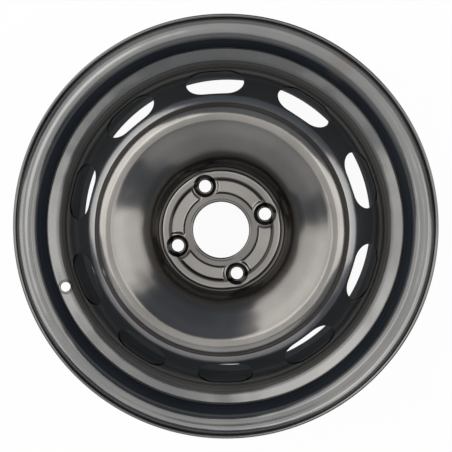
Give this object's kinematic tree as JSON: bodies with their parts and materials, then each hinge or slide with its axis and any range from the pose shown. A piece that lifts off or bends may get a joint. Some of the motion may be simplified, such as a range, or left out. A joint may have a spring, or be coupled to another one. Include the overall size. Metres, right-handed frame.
{
  "type": "wheel rim",
  "caption": "Pressed steel road wheel: drop-centre rim and welded dished disc with round-ended vent slots, conical bolt seats and a plain hub bore.",
  "frame": {"origin": "centre of the hub bore in the hub mounting face", "axes": "+Z along the wheel axis to the outboard side, +X through the valve hole, +Y by the right-hand rule"},
  "size_m": [0.44, 0.4398, 0.1911],
  "materials": {
    "coated_steel_rim": "satin black dip coat",
    "coated_steel_disc": "satin black dip coat",
    "coated_weld": "satin black dip coat over weld metal"
  },
  "bodies": {
    "root": {"rim": "coated_steel_rim", "disc": "coated_steel_disc", "disc_welds": "coated_weld"}
  },
  "joints": []
}
